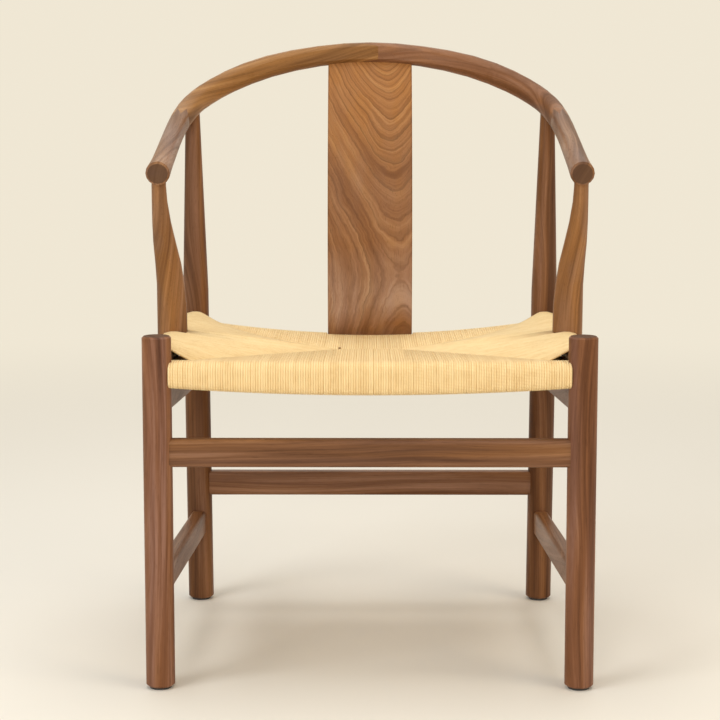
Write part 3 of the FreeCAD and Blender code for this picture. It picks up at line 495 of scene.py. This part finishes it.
def figured_walnut(name, centre, tones, seed):
    """The splat's flat sawn figure: nested points that hang down on the right, and long lines on the left."""
    finish = Walnut(name, centre, UPRIGHT, seed)
    place = finish.parts(finish.place)
    wave = finish.noise(finish.place, FIGURE_WAVE_SCALE, detail=1.5)
    ripple = finish.noise(finish.place, FIGURE_RIPPLE_SCALE)
    reach = finish.total((figure_reach(finish, place["X"], place["Z"]), 1.0),
                         (wave, FIGURE_WAVE), (ripple, FIGURE_RIPPLE))
    line = finish.ring_line(reach, FIGURED_RING)
    tone = finish.streaks(reach, place["Z"], FIGURED_STREAKS)
    # The splat's foot takes a band of painted sheen, greyer and paler, and its head a warmer, lighter tint
    uneven_height = finish.total((place["Z"], 1.0), (wave, PATCH_WAVE))
    foot = finish.math("MULTIPLY", finish.spread(uneven_height, *SHEEN_BAND_LOWER),
                       finish.spread(uneven_height, *SHEEN_BAND_UPPER))
    head = finish.spread(uneven_height, *HEAD_PATCH)
    finish.apply(tone, line, FIGURED_LINE_SHARE, tones, SPLAT_COOL_SHARE,
                 ((foot, SPLAT_SHEEN_TINT), (head, SPLAT_HEAD_TINT)))
    return finish.material


def paper_cord():
    """Natural twisted paper cord, each strand with its own tone."""
    finish = Finish("natural paper cord")
    around = finish.parts(finish.attribute("around")["Vector"])
    turn = finish.math("MULTIPLY", finish.attribute("along")["Fac"], 2 * math.pi / TWIST_LENGTH)
    twist = finish.total((finish.math("SINE", turn), around["X"]), (finish.math("COSINE", turn), around["Y"]))
    ridge = finish.math("ABSOLUTE", twist)
    fibre = finish.noise(finish.place, FIBRE_SCALE, detail=3.0, roughness=0.6)
    blotch = finish.noise(finish.place, BLOTCH_SCALE)
    tone = finish.total((finish.attribute("tone")["Fac"], STRAND_SHARE), (fibre, FIBRE_SHARE),
                        (blotch, BLOTCH_SHARE))
    # Painted shade, darkest in the grooves of the twist
    groove_shade = finish.spread(ridge, 0.0, GROOVE_WIDTH, GROOVE_SHADE_SHARE, 0.0)
    finish.shade({"Base Color": finish.mix(groove_shade, finish.ramp(tone, CORD_TONES), PAINTED_GROOVE_SHADE),
                  "Roughness": finish.spread(fibre, *NOISE_RANGE, *CORD_ROUGHNESS),
                  "Specular IOR Level": CORD_SPECULAR})
    relief = finish.total((ridge, RIDGE_RELIEF_SHARE), (fibre, FIBRE_RELIEF_SHARE))
    finish.bump(relief, CORD_BUMP, CORD_RELIEF)
    return finish.material


def glide_plastic():
    """Dull dark plastic, a little scuffed."""
    finish = Finish("dark glide plastic")
    scuff = finish.noise(finish.place, SCUFF_SCALE, detail=4.0)
    finish.shade({"Base Color": finish.ramp(scuff, GLIDE_TONES),
                  "Roughness": finish.spread(scuff, *NOISE_RANGE, *GLIDE_ROUGHNESS)})
    finish.bump(scuff, GLIDE_BUMP, GLIDE_RELIEF)
    return finish.material


# Wood pieces and glides: the frame's own shapes with their facets smoothed


def middle(node):
    """The middle of a node's box."""
    low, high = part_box(node)
    return (low + high) / 2


def smooth_copy(node, material):
    """A copy of a node with shared corners and smooth rounds, which stands for the node."""
    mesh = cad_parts[node].data.copy()
    work = bmesh.new()
    work.from_mesh(mesh)
    bmesh.ops.remove_doubles(work, verts=work.verts, dist=MERGE_DISTANCE)
    bmesh.ops.dissolve_limit(work, angle_limit=FLAT_ANGLE, verts=work.verts, edges=work.edges)
    bmesh.ops.triangulate(work, faces=work.faces)
    for face in work.faces:
        face.smooth = True
    for edge in work.edges:
        edge.smooth = len(edge.link_faces) == 2 and edge.calc_face_angle() < SMOOTH_ANGLE
    work.to_mesh(mesh)
    work.free()
    mesh.materials.clear()
    mesh.materials.append(material)
    piece = bpy.data.objects.new("wood_" + node, mesh)
    bpy.context.scene.collection.objects.link(piece)
    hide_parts(node)
    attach(piece, "root")


def wood_piece(node, slot, grain, tones, seed, **settings):
    """A node's smooth copy in plain walnut of its own."""
    name = "walnut " + node.replace("_", " ")
    smooth_copy(node, walnut(name, middle(node), grain, tones, seed, **settings))


def front_and_back_bars():
    """The stretcher and the seat rail between the legs of each row."""
    for number, row in enumerate(("front", "back")):
        wood_piece(f"{row}_stretcher", "walnut_stretchers", ACROSS, BAR_TONES, SEEDS["stretcher"] + number)
        wood_piece(f"{row}_seat_rail", "walnut_seat_rails", ACROSS, BAR_TONES, SEEDS["seat_rail"] + number)


def side_bars(side, number):
    """The two stretchers and the seat rail of one side."""
    for tier in ("low", "high"):
        wood_piece(f"{tier}_side_stretcher_{side}", "walnut_stretchers", BACKWARD, SIDE_BAR_TONES,
                   SEEDS["side_stretcher"] + number, cool_share=SIDE_BAR_COOL_SHARE)
    wood_piece(f"side_seat_rail_{side}", "walnut_seat_rails", BACKWARD, BAR_TONES,
               SEEDS["side_seat_rail"] + number)


def arm(side, number):
    """An arm, with a painted sheen that makes it paler towards its tip, and the post under it."""
    tip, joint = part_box(f"arm_{side}")
    # The arm's painted sheen grows from its joint to its tip
    wood_piece(f"arm_{side}", "walnut_arms", ARM_GRAIN, ARM_TONES, SEEDS["arm"] + number,
               worn=(joint.y - SHEEN_MARGIN, tip.y + SHEEN_MARGIN))
    wood_piece(f"arm_post_{side}", "walnut_arm_posts", UPRIGHT, ARM_POST_TONES, SEEDS["arm_post"] + number)


def crest_piece(side, number):
    """Half of the back of the horseshoe rail."""
    along_x, along_y, along_z = CREST_GRAIN
    wood_piece(f"crest_{side}", "walnut_crest", (SIDES[side] * along_x, along_y, along_z), CREST_TONES[side],
               SEEDS["crest"] + number, cool_share=CREST_COOL_SHARES[side])


# The back legs take the darker tones of painted shade
for number, (row, side) in enumerate(LEGS):
    wood_piece(f"{row}_leg_{side}", "walnut_legs", UPRIGHT, LEG_TONES[row],
               SEEDS["leg"] + LEG_SEED_STEP * number)
front_and_back_bars()
for number, side in enumerate(SIDES):
    side_bars(side, number)
    arm(side, number)
    crest_piece(side, number)
splat_finish = figured_walnut("walnut splat", middle("back_splat"), SPLAT_TONES, SEEDS["splat"])
smooth_copy("back_splat", splat_finish)
glide_finish = glide_plastic()
for row, side in LEGS:
    smooth_copy(f"glide_{row}_{side}", glide_finish)


# Woven seat: one route for each strand of cord, swept into a round cord


def rail_section(node):
    """A front or back seat rail's axis along Y, half its depth and its top level."""
    low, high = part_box(node)
    return (low.y + high.y) / 2, (high.y - low.y) / 2, high.z


# Places on the frame: the right front leg's axis, the rails, and the corners of the fields
front_x, front_y = middle("glide_front_right").xy
front_rail_axis, front_rail_half, front_top = rail_section("front_seat_rail")
back_rail_axis, back_rail_half, back_top = rail_section("back_seat_rail")
splat_half_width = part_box("back_splat")[1].x
post_foot_y = front_y + POST_FOOT_SETBACK
front_edge_y = front_rail_axis + front_rail_half - RAIL_CORNER
back_edge_y = back_rail_axis - back_rail_half + RAIL_CORNER
near_y = front_y + LEG_RADIUS + CORD / 2
far_y = back_rail_axis - LEG_RADIUS - CORD / 2
middle_y = (near_y + far_y) / 2
near_corner_x = front_x - LEG_RADIUS - CORNER_INSET
far_corner_x = BACK_LEG_X - LEG_RADIUS - CORNER_INSET


def mitre_share(distance, first, last):
    """How far along a mitre line a strand meets it."""
    return min(1.0, max(0.0, (distance - first) / (last - first)))


def back_wrap_rise(x):
    """How far the cord on the back rail is packed up towards the corners, as the side rails are higher."""
    return BACK_WRAP_RISE * x * x


def field_level(y, layer):
    """The height of a cord's middle in the upper (1) or lower (-1) layer at one depth."""
    if y < middle_y:
        edge_y, rail_top = front_edge_y, front_top
    else:
        edge_y, rail_top = back_edge_y, back_top
    edge_level = rail_top - RAIL_HEIGHT / 2 + layer * (RAIL_HEIGHT + CORD) / 2
    if layer > 0 and y > middle_y:
        across = mitre_share(y, far_y, middle_y)
        edge_level += back_wrap_rise(far_corner_x + (BRIDGE_HALF_WIDTH - far_corner_x) * across)
    share = mitre_share(y, edge_y, middle_y)
    middle_level = SEAT_MIDDLE - (0 if layer > 0 else WEB_DEPTH)
    return edge_level + (middle_level - edge_level) * share


def arc(centre, radius, start, end):
    """Points of an arc in a rail's section, angles in radians."""
    steps = max(1, math.ceil(abs(end - start) / ARC_STEP))
    turns = [start + (end - start) * step / steps for step in range(steps + 1)]
    return [(centre[0] + radius * math.cos(turn), centre[1] + radius * math.sin(turn)) for turn in turns]


def tangent_turn(centre, radius, target, sign):
    """The angle at which a cord from a target meets a corner from above (1) or below (-1)."""
    out, up = target[0] - centre[0], target[1] - centre[1]
    turn = math.atan2(up, out)
    if turn * sign < 0:
        turn += sign * 2 * math.pi
    return turn - sign * math.acos(min(1.0, radius / math.hypot(out, up)))


def loop_round(inner, outer, bottom, top, top_corner, bottom_corner, below, above):
    """A cord's path round a rail's section, from its end below round the outside to its end above."""
    half = CORD / 2
    lower_in = (inner + bottom_corner, bottom + bottom_corner)
    lower_out = (outer - bottom_corner, bottom + bottom_corner)
    upper_out = (outer - top_corner, top - top_corner)
    upper_in = (inner + top_corner, top - top_corner)
    low_reach, high_reach = bottom_corner + half, top_corner + half
    low_turn = tangent_turn(lower_in, low_reach, below, -1)
    high_turn = tangent_turn(upper_in, high_reach, above, 1)
    quarter = math.pi / 2
    path = [below]
    path += arc(lower_in, low_reach, low_turn, -quarter)
    path += arc(lower_out, low_reach, -quarter, 0)
    if high_turn > quarter:
        path += arc(upper_out, high_reach, 0, quarter)
        path += arc(upper_in, high_reach, quarter, high_turn)
    else:
        path += arc(upper_out, high_reach, 0, tangent_turn(upper_out, high_reach, above, 1))
    path.append(above)
    return path


def with_dives(path, dive):
    """The path with both ends turned into the seat, under the strands that cross there."""
    if not dive:
        return path
    below, above = path[0], path[-1]
    return [(below[0] - dive / 2, below[1] + dive)] + path + [(above[0] - dive / 2, above[1] - dive)]


def cross_strand(row, x):
    """A strand of the front or back field, at one distance across the seat."""
    if row == "front":
        axis, half_depth, top, outward = front_rail_axis, front_rail_half, front_top, -1
        corner_x, corner_y = near_corner_x, near_y
        belly = FRONT_BELLY * (1 - (x / (front_x - LEG_RADIUS)) ** 2)
        bottom, bottom_corner = top - RAIL_HEIGHT - belly, BELLY_CORNER
    else:
        axis, half_depth, top, outward = back_rail_axis, back_rail_half, back_top, 1
        corner_x, corner_y = far_corner_x, far_y
        bottom, bottom_corner = top - RAIL_HEIGHT, RAIL_CORNER
        top += back_wrap_rise(x)
    share = mitre_share(abs(x), corner_x, BRIDGE_HALF_WIDTH)
    end_y = corner_y + (middle_y - corner_y) * share
    reach = (end_y - axis) * outward
    inner, outer, top_corner = -half_depth, half_depth, RAIL_CORNER
    if row == "back" and abs(x) < splat_half_width + CORD / 2:
        outer, top_corner, bottom_corner = inner + SLOT_STRIP, SLOT_CORNER, SLOT_CORNER
    path = loop_round(inner, outer, bottom, top, top_corner, bottom_corner,
                      (reach, field_level(end_y, -1)), (reach, field_level(end_y, 1)))
    path = with_dives(path, 0 if abs(x) < BRIDGE_HALF_WIDTH else DIVE)
    return [Vector((x, axis + outward * out, up)) for out, up in path]


def side_rail_at(y):
    """Distance across the seat and top level of the side rail's axis at one depth."""
    share = (y - front_y) / (back_rail_axis - front_y)
    across = front_x + (BACK_LEG_X - front_x) * share
    return across, SIDE_FRONT_TOP + (SIDE_BACK_TOP - SIDE_FRONT_TOP) * share


def side_strand(sign, y):
    """A strand of a side field, at one depth. At the arm post's foot it stays on the rail's inner side."""
    rail_x, top = side_rail_at(y)
    if y < middle_y:
        share, corner_x = mitre_share(y, near_y, middle_y), near_corner_x
    else:
        share, corner_x = mitre_share(y, far_y, middle_y), far_corner_x
    reach = corner_x + (BRIDGE_HALF_WIDTH - corner_x) * share - rail_x
    half_width = SIDE_RAIL_WIDTH / 2
    below, above = (reach, field_level(y, -1)), (reach, field_level(y, 1))
    if abs(y - post_foot_y) > POST_FOOT_HALF_DEPTH:
        path = loop_round(-half_width, half_width, top - RAIL_HEIGHT, top,
                          SIDE_RAIL_CORNER, SIDE_RAIL_CORNER, below, above)
    else:
        inside = -half_width - CORD / 2
        low, high = top - RAIL_HEIGHT + SIDE_RAIL_CORNER, top - FOOT_STRAND_DROP
        path = [below, (inside, low), (inside, high), above]
    path = with_dives(path, DIVE)
    return [Vector((sign * (rail_x + out), y, up)) for out, up in path]


def cord_end_route():
    """The cord's cut end, which comes up between the strands in the seat's middle. Its dark colour is painted
    shadow.
    """
    top = Vector((0, middle_y, field_level(middle_y, 1))) + Vector(CORD_END_PLACE)
    return [top - Vector((0, 0, CORD_END_LENGTH)), top]


def spaced(first, last):
    """Places of strands side by side from one place to another."""
    gaps = round((last - first) / CORD_PITCH)
    return [first + (last - first) * step / gaps for step in range(gaps + 1)]


def seat_routes():
    """Routes of all the strands."""
    uneven = random.Random(UNEVENNESS_SEED)
    routes = []
    for x in spaced(-(front_x - WRAP_END), front_x - WRAP_END):
        routes.append(cross_strand("front", x + uneven.gauss(0, UNEVENNESS)))
    for x in spaced(-(BACK_LEG_X - WRAP_END), BACK_LEG_X - WRAP_END):
        routes.append(cross_strand("back", x + uneven.gauss(0, UNEVENNESS)))
    for sign in SIDES.values():
        for y in spaced(near_y, far_y):
            routes.append(side_strand(sign, y + uneven.gauss(0, UNEVENNESS)))
    routes.append(cord_end_route())
    return routes


def route_mesh(routes):
    """Loose edges along the routes, each strand with its own tone."""
    shades = random.Random(STRAND_TONE_SEED)
    points, edges, tones = [], [], []
    for number, route in enumerate(routes):
        first = len(points)
        # The cut end's tone paints it dark with shadow
        tone = CORD_END_TONE if number == len(routes) - 1 else shades.random()
        points += route
        tones += [tone] * len(route)
        edges += [(index, index + 1) for index in range(first, len(points) - 1)]
    mesh = bpy.data.meshes.new("seat routes")
    mesh.from_pydata(points, edges, [])
    mesh.attributes.new("tone", "FLOAT", "POINT").data.foreach_set("value", tones)
    return mesh


def cord_tree():
    """Geometry nodes that sweep a round cord along every route."""
    tree = bpy.data.node_groups.new("cord along routes", "GeometryNodeTree")
    tree.interface.new_socket("Routes", in_out="INPUT", socket_type="NodeSocketGeometry")
    tree.interface.new_socket("Cord diameter", in_out="INPUT", socket_type="NodeSocketFloat")
    tree.interface.new_socket("Cord sides", in_out="INPUT", socket_type="NodeSocketInt")
    tree.interface.new_socket("Cord finish", in_out="INPUT", socket_type="NodeSocketMaterial")
    tree.interface.new_socket("Cords", in_out="OUTPUT", socket_type="NodeSocketGeometry")

    def node(kind, inputs=None, **settings):
        """Add a node and return its outputs."""
        return add_node(tree, kind, inputs, **settings).outputs

    def keep(geometry, name, value, data_type):
        """Keep a value of every point as an attribute."""
        inputs = {"Geometry": geometry, "Name": name, "Value": value}
        return node("GeometryNodeStoreNamedAttribute", inputs, data_type=data_type, domain="POINT")[0]

    given = node("NodeGroupInput")
    lines = node("GeometryNodeMeshToCurve", {"Mesh": given["Routes"]})[0]
    lines = keep(lines, "along", node("GeometryNodeSplineParameter")["Length"], "FLOAT")
    radius = node("ShaderNodeMath", {0: given["Cord diameter"], 1: 0.5}, operation="MULTIPLY")[0]
    circle = node("GeometryNodeCurvePrimitiveCircle",
                  {"Resolution": given["Cord sides"], "Radius": radius})[0]
    spot = node("ShaderNodeVectorMath", {0: node("GeometryNodeInputPosition")[0]}, operation="NORMALIZE")[0]
    circle = keep(circle, "around", spot, "FLOAT_VECTOR")
    cords = node("GeometryNodeCurveToMesh", {"Curve": lines, "Profile Curve": circle, "Fill Caps": True})[0]
    cords = node("GeometryNodeSetShadeSmooth", {"Geometry": cords})[0]
    cords = node("GeometryNodeRealizeInstances", {"Geometry": cords})[0]
    cords = node("GeometryNodeSetMaterial", {"Geometry": cords, "Material": given["Cord finish"]})[0]
    node("NodeGroupOutput", {"Cords": cords})
    return tree


def sweep_cords(name, mesh, tree, material):
    """The mesh that the cord tree makes from routes, as a piece of its own."""
    carrier = bpy.data.objects.new(name + " routes", mesh)
    bpy.context.scene.collection.objects.link(carrier)
    modifier = carrier.modifiers.new("cord", "NODES")
    modifier.node_group = tree
    settings = {"Cord diameter": CORD * CORD_SPREAD, "Cord sides": CORD_SIDES, "Cord finish": material}
    for item in tree.interface.items_tree:
        if item.in_out == "INPUT" and item.name in settings:
            modifier[item.identifier] = settings[item.name]
    bpy.context.view_layer.update()
    evaluated = carrier.evaluated_get(bpy.context.evaluated_depsgraph_get())
    swept = bpy.data.meshes.new_from_object(evaluated)
    bpy.data.objects.remove(carrier)
    piece = bpy.data.objects.new(name, swept)
    bpy.context.scene.collection.objects.link(piece)
    return piece


weave = sweep_cords("woven_cord_seat", route_mesh(seat_routes()), cord_tree(), paper_cord())
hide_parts("woven_seat")
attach(weave, "root")


# Floor, light and camera


def seen_rays(tree):
    """One for rays from the camera and for the mirror and glass rays that show it a surface, else zero."""
    rays = add_node(tree, "ShaderNodeLightPath").outputs
    total = rays["Is Camera Ray"]
    for name in ("Is Glossy Ray", "Is Transmission Ray"):
        total = add_node(tree, "ShaderNodeMath", {0: total, 1: rays[name]}, operation="MAXIMUM").outputs[0]
    return total


def mixed_shader(tree, share, first, second):
    """Two shaders mixed."""
    return add_node(tree, "ShaderNodeMixShader", {0: share, 1: first, 2: second}).outputs[0]


def floor_finish():
    """A dull pale finish that, where it is seen, fades into the backdrop's colour away from the chair."""
    finish = Finish("pale studio floor")
    finish.shade({"Base Color": FLOOR_COLOUR, "Roughness": FLOOR_ROUGHNESS,
                  "Specular IOR Level": FLOOR_SPECULAR})
    away = finish.vectors("LENGTH", finish.place)["Value"]
    fade = finish.node("MapRange", {"Value": away, "From Min": FADE_START, "From Max": FADE_END},
                       interpolation_type="SMOOTHSTEP").outputs["Result"]
    fade = finish.math("MULTIPLY", fade, seen_rays(finish.tree))
    glow = finish.node("Emission", {"Color": BACKDROP_COLOUR}).outputs["Emission"]
    mixed = mixed_shader(finish.tree, fade, finish.shader.outputs["BSDF"], glow)
    feed(finish.tree, finish.tree.nodes["Material Output"].inputs["Surface"], mixed)
    return finish.material


def stage_floor():
    """A wide round floor under the chair."""
    turns = [2 * math.pi * side / FLOOR_SIDES for side in range(FLOOR_SIDES)]
    rim = [(FLOOR_RADIUS * math.cos(turn), FLOOR_RADIUS * math.sin(turn), 0.0) for turn in turns]
    mesh = bpy.data.meshes.new("studio floor")
    mesh.from_pydata(rim, [], [range(FLOOR_SIDES)])
    mesh.materials.append(floor_finish())
    floor = bpy.data.objects.new("studio_floor", mesh)
    bpy.context.scene.collection.objects.link(floor)


def area_light(name, place, size, power, colour):
    """A square soft light that points at the seat."""
    data = bpy.data.lights.new(name, "AREA")
    data.color = colour
    data.shape = "SQUARE"
    data.size = size
    data.energy = power
    light = bpy.data.objects.new(name, data)
    light.location = place
    light.rotation_euler = (Vector(LIGHT_TARGET) - Vector(place)).to_track_quat("-Z", "Y").to_euler()
    bpy.context.scene.collection.objects.link(light)


def room_light():
    """Soft light from all round, and the backdrop's colour where the room itself is seen."""
    world = bpy.data.worlds.new("world")
    world.use_nodes = True
    tree = world.node_tree
    room = tree.nodes["Background"]
    feed(tree, room.inputs["Color"], ROOM_COLOUR)
    feed(tree, room.inputs["Strength"], ROOM_STRENGTH)
    backdrop = add_node(tree, "ShaderNodeBackground", {"Color": BACKDROP_COLOUR})
    mixed = mixed_shader(tree, seen_rays(tree), room.outputs[0], backdrop.outputs[0])
    feed(tree, tree.nodes["World Output"].inputs["Surface"], mixed)
    bpy.context.scene.world = world


def photo_camera():
    """A camera at the photograph's place before the front legs."""
    data = bpy.data.cameras.new("camera")
    data.sensor_width = FILM_WIDTH
    data.lens = FILM_WIDTH * FOCAL_PIXELS / PHOTO_PIXELS
    data.shift_y = -VIEW_SHIFT
    camera = bpy.data.objects.new("camera", data)
    camera.location = (0.0, front_y - EYE_DISTANCE, EYE_HEIGHT)
    camera.rotation_euler = (math.pi / 2 - LOOK_DOWN, 0.0, LOOK_LEFT)
    bpy.context.scene.collection.objects.link(camera)
    bpy.context.scene.camera = camera


stage_floor()
for light in LIGHTS:
    area_light(*light)
room_light()
photo_camera()
bpy.context.scene.view_settings.view_transform = "Standard"
